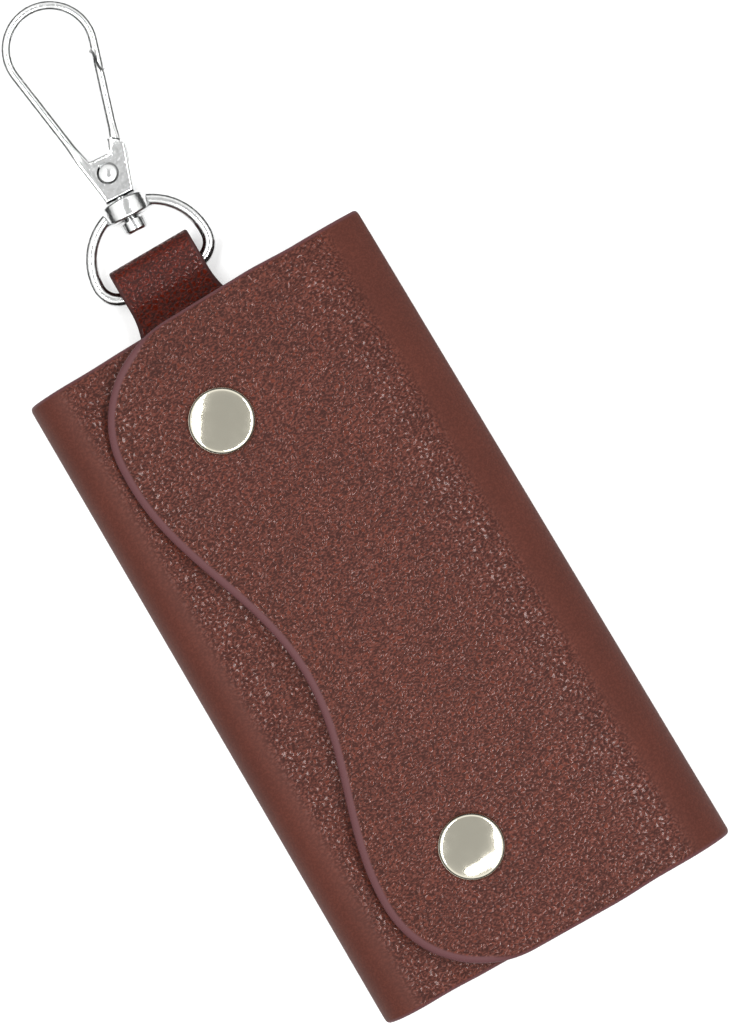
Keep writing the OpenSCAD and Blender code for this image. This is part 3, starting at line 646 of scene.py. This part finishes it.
# The dome is drawn from its middle to its shoulder, and the shoulder down to the rim
dome_w = (cap_r - shoulder) / (1 - shoulder / dome_r)
dome_h = dome_r - math.sqrt(dome_r ** 2 - dome_w ** 2)
dome_a = math.asin(dome_w / dome_r)
cap_profile = [(r, cap_h - dome_r + math.sqrt(dome_r ** 2 - r * r)) for r in np.linspace(0, dome_w, 24)]
cap_profile += [(dome_w + shoulder * (math.sin(a) - math.sin(dome_a)),
                 cap_h - dome_h + shoulder * (math.cos(a) - math.cos(dome_a)))
                for a in np.linspace(dome_a, math.pi / 2, 14)[1:]]
cap_profile += [(cap_profile[-1][0], 0), (0, 0)]
cap_nickel = polished_nickel("polished_nickel_plate", "#ddd8c7", rough=0.07, wear=0.04, marks=2.2)
seats = np.array([(x, y, top_z - cap_sunk) for x, y in SNAPS]) * MM
caps = run_nodes(turned("cap", cap_profile), pair_tree, "snap_caps", First=seats[0].tolist(),
                 Apart=(seats[1] - seats[0]).tolist(), Finish=cap_nickel)
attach(caps, "flap")
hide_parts("snap_cap_top", "snap_cap_bottom")

# Sockets, studs and eyelets
# The hidden halves of the snaps: a socket of nickel-plated brass in the flap, and a stud and an eyelet
# clenched together through the under panel.
snap_nickel = polished_nickel("satin_nickel_plate", "#c9c6bd", rough=0.28, wear=0.1)


def plate(finish, *names):
    """Gives its finish to each of the model's own solids that is shown as it is."""
    for name in names:
        solid = frame["nodes"][name].data
        solid.materials.clear()
        solid.materials.append(finish)


for end in ("top", "bottom"):
    plate(snap_nickel, "snap_socket_" + end, "snap_stud_" + end, "stud_eyelet_" + end)

# The strap
# A strip of the same leather is folded round the ring's bar. Both its legs lie on the back's lining, where
# a rivet holds them.
strap_t, strap_half = 1.1, 7.6
strap_x = middle_mm("hook_strap")[0]
strap_in = corner_mm("hook_strap", 0)[1]
strap_tip = corner_mm("hook_strap", 1)[1]
bar_z = middle_mm("swivel_ring")[2]
loop_r = (corner_mm("hook_strap", 1)[2] - bar_z) - strap_t / 2
loop_y = strap_tip - strap_t / 2 - loop_r

# The legs leave the mouth of the case flat, and bend apart on the way to the ring's bar
mouth_in, bend_out = 0.5, 7.8
strap_root = half_l - mouth_in
bend_to = half_l + bend_out


def leg(y, low):
    """Height of the middle of a leg of the strap at y."""
    inside_z = wall_t + strap_t * (0.5 if low else 1.5)
    outside_z = bar_z - loop_r if low else bar_z + loop_r
    t = np.clip((y - strap_root) / (bend_to - strap_root), 0, 1)
    return inside_z + (outside_z - inside_z) * smooth_step(t)


leg_y = np.concatenate([np.linspace(strap_in, strap_root, 12), np.linspace(strap_root, bend_to, 24)[1:],
                        np.linspace(bend_to, loop_y, 8)[1:-1]])
half_turn = np.linspace(-math.pi / 2, math.pi / 2, 40)
route = np.concatenate([
    np.stack([leg_y, leg(leg_y, True)], -1),
    np.stack([loop_y + loop_r * np.cos(half_turn), bar_z + loop_r * np.sin(half_turn)], -1),
    np.stack([leg_y[::-1], leg(leg_y[::-1], False)], -1)])
route_s = np.concatenate([[0], np.cumsum(np.linalg.norm(np.diff(route, axis=0), axis=1))])
route_way = np.gradient(route, route_s, axis=0)
route_way /= np.linalg.norm(route_way, axis=1)[:, None]
STRAP_ROUNDING = ((0.45, 0.4), (0.4, 0.35))

# How much wider the strap grows on each side towards the case, from where and over what length
STRAP_FLARE, FLARE_OUT, FLARE_OVER = 0.9, 4.5, 5


def round_the_bar(s, v, depth):
    """Where a point of the flat strap comes to lie, at a depth below its outer face."""
    y, z = (np.interp(s, route_s, route[:, i]) for i in (0, 1))
    wy, wz = (np.interp(s, route_s, route_way[:, i]) for i in (0, 1))
    out = strap_t / 2 - depth
    wide = 1 + STRAP_FLARE / strap_half * np.clip((half_l + FLARE_OUT - y) / FLARE_OVER, 0, 1) ** 2
    return np.stack([strap_x + v * wide, y + out * wz, z - out * wy], -1)


def all_cut(points):
    """For a piece that is cut all round."""
    return np.zeros(len(points), bool)


def strap_marks(flat, edge):
    """Distance from the cut edge. Its grain is drawn flat nowhere."""
    return {"edge_mm": edge, "drawn": np.zeros(len(edge))}


# The strap's colours are darker than the hide's: partly the strap's own redder tone, partly painted shade
# where it leaves the case's mouth
strap_leather_with_painted_shade = pebbled_leather("pebbled_strap_leather_with_painted_shade", "#5a1c10", "#2c0b06", "#381816", 0.5)
strap_outline = [(0, -strap_half), (route_s[-1], -strap_half), (route_s[-1], strap_half), (0, strap_half)]
strap = cut_sheet("strap_loop", strap_leather_with_painted_shade, strap_outline, all_cut, round_the_bar,
                  rounded((0, strap_t), STRAP_ROUNDING), pitch=0.5, marks=strap_marks)
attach(strap, "back")
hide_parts("hook_strap")
plate(snap_nickel, "strap_rivet")

# The ring
# A D-shaped ring of zinc alloy, cast with its collar and plated bright nickel. Its straight bar lies in
# the strap's loop, and the hook's pin is peened over inside it.
swing = next(j for j in frame["record"]["behaviour"]["joints"] if j["name"] == "ring_swing")
lean = math.atan2(swing["axis"][1], swing["axis"][0])
ring_place = Matrix.Translation(swing["pos_m"]) @ Matrix.Rotation(lean, 4, "Z") @ Matrix.Scale(MM, 4)
wire_d, ring_w, ring_rise = 2.3, 23, 3.8
collar_r, collar_l, collar_w, collar_soft, collar_bore_r = 3.3, 3.5, 8.4, 0.5, 1.47
crown_r = (ring_w - wire_d) / 2
bar_half = crown_r - ring_rise
collar_y = ring_rise + crown_r - wire_d / 4
bright_nickel = polished_nickel("bright_nickel_plate", "#dcdddd", rough=0.15, wear=0.08, marks=0.5,
                                marks_h=0.03)

wire_tree, start, ends = node_tree("wire_along_a_path", Wire="Float", Finish="Material")
section = add(wire_tree, "GeometryNodeCurvePrimitiveCircle", Resolution=32, Radius=start.outputs["Wire"])
swept = add(wire_tree, "GeometryNodeCurveToMesh", Curve=start.outputs["Geometry"],
            Profile_Curve=section.outputs[0], Fill_Caps=True)
smooth = add(wire_tree, "GeometryNodeSetShadeSmooth", _0=swept.outputs[0])
close_tree(wire_tree, ends, smooth.outputs[0], start.outputs["Finish"])


def path(name, points, closed=False):
    """A path for a wire, through points in mm in the ring's frame."""
    curve = bpy.data.curves.new(name, "CURVE")
    curve.dimensions = "3D"
    line = curve.splines.new("POLY")
    line.points.add(len(points) - 1)
    for made, p in zip(line.points, points):
        made.co = (*(ring_place @ Vector(p)), 1)
    line.use_cyclic_u = closed
    piece = bpy.data.objects.new(name, curve)
    bpy.context.scene.collection.objects.link(piece)
    return piece


def arc(cx, cy, r, a, b, steps):
    """Points of an arc from angle a to angle b, in degrees."""
    turn = np.radians(np.linspace(a, b, steps))
    return [(cx + r * math.cos(t), cy + r * math.sin(t), 0) for t in turn]


ring_path = (arc(bar_half, ring_rise, ring_rise, -90, 0, 16)[:-1] + arc(0, ring_rise, crown_r, 0, 180, 64)
             + arc(-bar_half, ring_rise, ring_rise, 180, 270, 16)[1:])
ring_wire = run_nodes(path("ring", ring_path, True), wire_tree, "ring_wire", Wire=wire_d / 2 * MM,
                      Finish=bright_nickel)


def merge(pieces, name):
    """Makes one piece of several."""
    work = bmesh.new()
    for piece in pieces:
        work.from_mesh(piece.data)
    mesh = bpy.data.meshes.new(name)
    work.to_mesh(mesh)
    work.free()
    finish = pieces[0].data.materials[0]
    for piece in pieces:
        bpy.data.objects.remove(piece)
    mesh.materials.append(finish)
    return finish_mesh(mesh, name, sharp=40)


def turned_in_ring(name, profile, y, sides=64, wide=1):
    """A turned piece on the hook's pin. Its profile runs up the hook from y, and it is drawn out sideways to
    an oval if wide is more than 1."""
    piece = turned(name, profile, sides)
    piece.data.transform(ring_place @ Matrix.Translation((0, y, 0)) @ Matrix.Rotation(-math.pi / 2, 4, "X")
                         @ Matrix.Diagonal((wide, 1, 1, 1)) @ Matrix.Scale(1 / MM, 4))
    return piece


def barrel(r, length, soft, bore=0, steps=6):
    """Profile of a short cylinder with rounded rims, closed or with a bore."""
    half = length / 2
    turn = np.linspace(0, math.pi / 2, steps)
    top = [(r - soft + soft * math.sin(a), half - soft + soft * math.cos(a)) for a in turn]
    low = [(x, -z) for x, z in top[::-1]]
    if bore:
        return [(bore, half)] + top + low + [(bore, -half), (bore, half)]
    return [(0, half)] + top + low + [(0, -half)]


collar = turned_in_ring("collar", barrel(collar_r, collar_l, collar_soft, collar_bore_r), collar_y,
                        wide=collar_w / 2 / collar_r)
ring = merge([ring_wire, collar], "ring_and_collar")
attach(ring, "ring")
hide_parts("swivel_ring")
plate(bright_nickel, "swivel_pin")

# The snap hook
# Body and gate are die-cast zinc alloy, tumbled so that every edge is soft, and plated bright nickel. The
# gate turns on a rivet between the base's two cheeks and is pushed shut by a small coil spring.
foot_gap, pivot_up, bow_up = 0.3, 4.5, 27.7
foot_y = collar_y + collar_l / 2 + foot_gap
pivot_y, bow_x, bow_y, bow_r, bar_r = foot_y + pivot_up, 0.8, foot_y + bow_up, 7.45, 1.0

# Lean of the arm and the gate in degrees, the round slot in the base and the round seam below the gate
arm_a, gate_a = 11, 14.5
slot_r, seam_r, seam_gap = 2.25, 5.85, 0.36
cheek_z, cheek_least = 1.1, 0.1
rivet_head_r, rivet_hole_r = 1.87, 1.07

# Half the thickness of the bar and the base and the rounding's width and depth there, and where they change
bar_half_t, bar_soft_w, bar_soft_h = 1.2, 0.98, 1.1
base_half_t, base_soft_w, base_soft_h = 1.7, 0.48, 0.5
base_up, base_ease = 8.2, 4

# Distances from a cast edge of the rows of points that round it off
CAST_PITCH, CAST_STEPS = 0.5, (0.04, 0.12, 0.25, 0.42, 0.62, 0.84)


def rise(points):
    """Points given from the foot of the hook's base."""
    return [(x, foot_y + y) for x, y in points]


def bend(cx, cy, r, a, b, steps):
    """Points of an arc in the plane of the hook."""
    return [p[:2] for p in arc(cx, cy, r, a, b, steps)]


def on_gate(u, v):
    """A point given along the gate: u out of the hook, v up from the gate's upper end."""
    a = math.radians(gate_a)
    out = bow_r + u
    return (bow_x + out * math.cos(a) + v * math.sin(a), bow_y - out * math.sin(a) + v * math.cos(a))


def lay_in_hook(x, y, depth):
    """Puts points of the hook in place, in mm."""
    turn = np.array(ring_place.to_3x3()) / MM
    return np.stack([x, y, -depth], -1) @ turn.T + np.array(ring_place.translation) / MM


def on_line(line):
    """The seams that follow a line."""
    line = np.array(line)
    return lambda points: away_from(points, line[:-1], line[1:]) < SAME_LINE


def any_of(*seams):
    """The seams of several lines together."""
    return lambda points: np.any([seam(points) for seam in seams], axis=0)


def cast(name, outline, seam, faces, holes=(), steps=CAST_STEPS):
    """A flat part of the casting, cut to its outline in the plane of the ring."""
    return cut_sheet(name, bright_nickel, outline, seam, lay_in_hook, faces, CAST_PITCH, holes, steps)


def half_thickness(points, edge):
    """Half the thickness of the casting, which is rounded off near its edges and thicker in the base."""
    t = 1 - smooth_step(np.clip((points[:, 1] - foot_y - base_up) / base_ease, 0, 1))
    width = bar_soft_w + (base_soft_w - bar_soft_w) * t
    depth = bar_soft_h + (base_soft_h - bar_soft_h) * t
    drop = depth * (1 - np.sqrt(1 - np.clip(1 - edge / width, 0, 1) ** 2))
    return bar_half_t + (base_half_t - bar_half_t) * t - drop


def both_faces(points, edge):
    """The casting's two faces, the same distance from its middle."""
    half = half_thickness(points, edge)
    return -half, half


# The stepped lap at the gate's upper end, from its inner to its outer side: share of the bar's half width,
# and distance up the gate. The gap along it is longer than it is wide
LAP_GAP_SHARE = 1.3
LAP = [(-1, -1.39), (-0.62, -1.52), (-0.28, -1.9), (-0.1, -2.6), (0, -3.3), (0.1, -4), (0.28, -4.7),
       (0.62, -5.07), (1, -5.2)]
nose_lap = [on_gate(u * bar_r, v) for u, v in LAP]


def off_nose(line, gap):
    """A line of the lap moved off the nose by the gap."""
    return [on_gate((u - (abs(u) < 1) * gap) * bar_r, v - gap * LAP_GAP_SHARE) for u, v in line]


gate_lap = off_nose(LAP, seam_gap)
slot_line = rise([(4.09, 4.86)]) + bend(0, pivot_y, slot_r, 5, -246, 30) + rise([(-1.42, 7.69)])
body_outline = (rise([(-2.6, 0), (2.6, 0)]) + slot_line + rise([(-2, 7.75)])
                + bend(bow_x, bow_y, bow_r - bar_r, 180 + arm_a, -gate_a, 60) + nose_lap
                + bend(bow_x, bow_y, bow_r + bar_r, -gate_a, 180 + arm_a, 70) + rise([(-2.95, 2.2)]))
body = cast("body", body_outline, any_of(on_line(slot_line), on_line(nose_lap)), both_faces)

# The cheeks go on from the base over the slot, as far as the gate's foot
horn = bend(0, pivot_y, seam_r, 33.1, 65.07, 12)
cheek_outline = slot_line + rise([(1.82, 7.6)]) + horn[::-1] + rise([(4.58, 6.46)])
cheek_seam = any_of(on_line(slot_line), on_line(horn))
rivet_seat = [(0, pivot_y, rivet_head_r)]


def cheek_half(points, edge):
    """Half the thickness over a cheek, which keeps a blunt edge."""
    return np.maximum(half_thickness(points, edge), cheek_z + cheek_least)


def front_cheek(points, edge):
    """The outer and the inner face of the cheek in front of the gate's tail."""
    return -cheek_half(points, edge), np.full(len(points), -cheek_z)


def back_cheek(points, edge):
    """The inner and the outer face of the cheek behind it."""
    return np.full(len(points), cheek_z), cheek_half(points, edge)


cheeks = [cast("cheek", cheek_outline, cheek_seam, faces, rivet_seat) for faces in (back_cheek, front_cheek)]
hook = merge([body] + cheeks, "hook_casting")
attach(hook, "hook")
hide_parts("hook_body")


def meets_seam(u):
    """Direction from the pivot, in degrees, in which a side of the gate meets the round seam."""
    (x, y), (dx, dy) = on_gate(u, 0), (-math.sin(math.radians(gate_a)), -math.cos(math.radians(gate_a)))
    back = x * dx + (y - pivot_y) * dy
    t = -back - math.sqrt(back ** 2 - x ** 2 - (y - pivot_y) ** 2 + (seam_r + seam_gap) ** 2)
    return math.degrees(math.atan2(y + t * dy - pivot_y, x + t * dx))


gate_foot = bend(0, pivot_y, seam_r + seam_gap, meets_seam(bar_r), meets_seam(-bar_r), 8)
bar = cast("bar", gate_lap + gate_foot, any_of(on_line(gate_lap), on_line(gate_foot)), both_faces)

# A thin tongue on the bar fills the lap's gap, and a flat tail reaches in between the cheeks to the rivet
tongue_lap = [(-0.85, -1.44)] + LAP[1:-1] + [(0.85, -5.15)]
tongue_gap, tongue_z_half = 0.03, 0.25
tail_a, tail_reach, tail_w, tail_r = 52, 6.6, 0.95, 2.1
TAIL_DEPTHS, TAIL_ROUNDING, TAIL_STEPS = (0.15, 0.95), ((0.15, 0.12), (0.15, 0.12)), (0.05, 0.15)


def all_joined(points):
    """For a piece whose edges meet others all round, so that none is rounded."""
    return np.ones(len(points), bool)


def tongue_faces(points, edge):
    """The two faces of the tongue."""
    return np.full(len(points), -tongue_z_half), np.full(len(points), tongue_z_half)


tongue_outline = off_nose(tongue_lap, seam_gap) + off_nose(tongue_lap, tongue_gap)[::-1]
tongue = cast("tongue", tongue_outline, all_joined, tongue_faces)
spread = math.degrees(math.asin(tail_w / tail_r))
ahead = np.array([math.cos(math.radians(tail_a)), math.sin(math.radians(tail_a))])
aside = np.array([-ahead[1], ahead[0]])
tail_outline = bend(0, pivot_y, tail_r, tail_a + spread, tail_a + 360 - spread, 40)
tail_outline += [tuple(ahead * tail_reach + aside * v + (0, pivot_y)) for v in (-tail_w, tail_w)]
tail = cast("tail", tail_outline, all_cut, rounded(TAIL_DEPTHS, TAIL_ROUNDING),
            [(0, pivot_y, rivet_hole_r)], TAIL_STEPS)
gate = merge([bar, tail, tongue], "gate_casting")
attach(gate, "gate")
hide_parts("hook_gate")
plate(bright_nickel, "gate_rivet", "gate_spring")

# The key rail
# A nickel-plated steel plate with a rolled edge is riveted to the back. Six flat hooks turn on its rod,
# each closed by a sprung gate.
rail_nickel = polished_nickel("nickel_plated_steel", "#cbc8c0", rough=0.2, wear=0.12)
key_parts = [name for name in frame["nodes"] if name.startswith(("key_hook_", "key_gate_"))]
plate(rail_nickel, "rail_plate", "rail_rod", "rail_rivets", *key_parts)

# The table, the light and the camera
# A plain white light table in a white tent, seen from straight above with the case turned to the left, as in
# the photograph. The tent is open at the sides, and a little dimmer at the top, round the camera.
TABLE_HALF = 2
table_mesh = bpy.data.meshes.new("table")
table_corners = [(x * TABLE_HALF, y * TABLE_HALF, 0) for x, y in ((-1, -1), (1, -1), (1, 1), (-1, 1))]
table_mesh.from_pydata(table_corners, [], [(0, 1, 2, 3)])
table = bpy.data.objects.new("table", table_mesh)
bpy.context.scene.collection.objects.link(table)
paper, paper_tree, paper_shader = new_finish("white_paper")
fill(paper_tree, paper_shader, Base_Color=colour("#c8c8c8"), Roughness=0.9, Emission_Color=colour("#ffffff"),
     Emission_Strength=0.5)
table_mesh.materials.append(paper)

# The middle and the height of the picture and the camera's distance, in mm, and its turn in degrees
VIEW_CENTRE = (7.5, 16.3)
VIEW_H = 170.2
CAMERA_UP = 800
ROLL = -30.4
SENSOR = 36
camera = bpy.data.objects.new("camera", bpy.data.cameras.new("camera"))
bpy.context.scene.collection.objects.link(camera)
camera.location = (VIEW_CENTRE[0] * MM, VIEW_CENTRE[1] * MM, (CAMERA_UP + top_z) * MM)
camera.rotation_euler = (0, 0, math.radians(ROLL))
camera.data.sensor_width = SENSOR
camera.data.lens = SENSOR * CAMERA_UP / VIEW_H
camera.data.clip_start = 0.01
bpy.context.scene.camera = camera

world = bpy.data.worlds.new("room")
world.use_nodes = True
sky = world.node_tree
upward = add(sky, "ShaderNodeTexCoord").outputs["Generated"]
height = add(sky, "ShaderNodeSeparateXYZ", _0=upward).outputs["Z"]
tent = add(sky, "ShaderNodeValToRGB", Fac=height)
ramp = tent.color_ramp
ramp.interpolation = "EASE"

# Brightness of the tent by how far up one looks, from level to straight up
TENT = ((0.0, 0.03), (0.4, 0.05), (0.56, 0.8), (0.72, 1.3), (0.84, 1.3), (0.95, 0.53))
for at, grey in TENT:
    stop = ramp.elements[0] if at == 0 else ramp.elements.new(at)
    stop.position, stop.color = at, (grey, grey, grey * 0.99, 1)
ramp.elements.remove(ramp.elements[-1])
fill(sky, sky.nodes["Background"], Color=tent.outputs["Color"], Strength=1.0)
bpy.context.scene.world = world

# Each soft light's distance to the side, height and narrow side, in metres
LIGHT_AWAY, LIGHT_UP, LIGHT_DEEP = 0.25, 0.62, 0.06


def softbox(name, turn, length, power):
    """A long, narrow soft light that looks down at the case from one side. turn is its direction in the
    picture, in degrees anticlockwise from the right."""
    lamp = bpy.data.lights.new(name, "AREA")
    lamp.shape = "RECTANGLE"
    lamp.size, lamp.size_y = length, LIGHT_DEEP
    lamp.energy = power
    box = bpy.data.objects.new(name, lamp)
    a = math.radians(turn + ROLL)
    box.location = (LIGHT_AWAY * math.cos(a), LIGHT_AWAY * math.sin(a), LIGHT_UP)
    box.rotation_mode = "QUATERNION"
    box.rotation_quaternion = box.location.to_track_quat("Z", "Y")
    bpy.context.scene.collection.objects.link(box)


softbox("left_softbox", 175, 0.6, 2.3)
softbox("right_softbox", 3, 0.6, 2.3)
softbox("near_softbox", -60, 0.3, 0.9)
bpy.context.scene.view_settings.view_transform = "Standard"
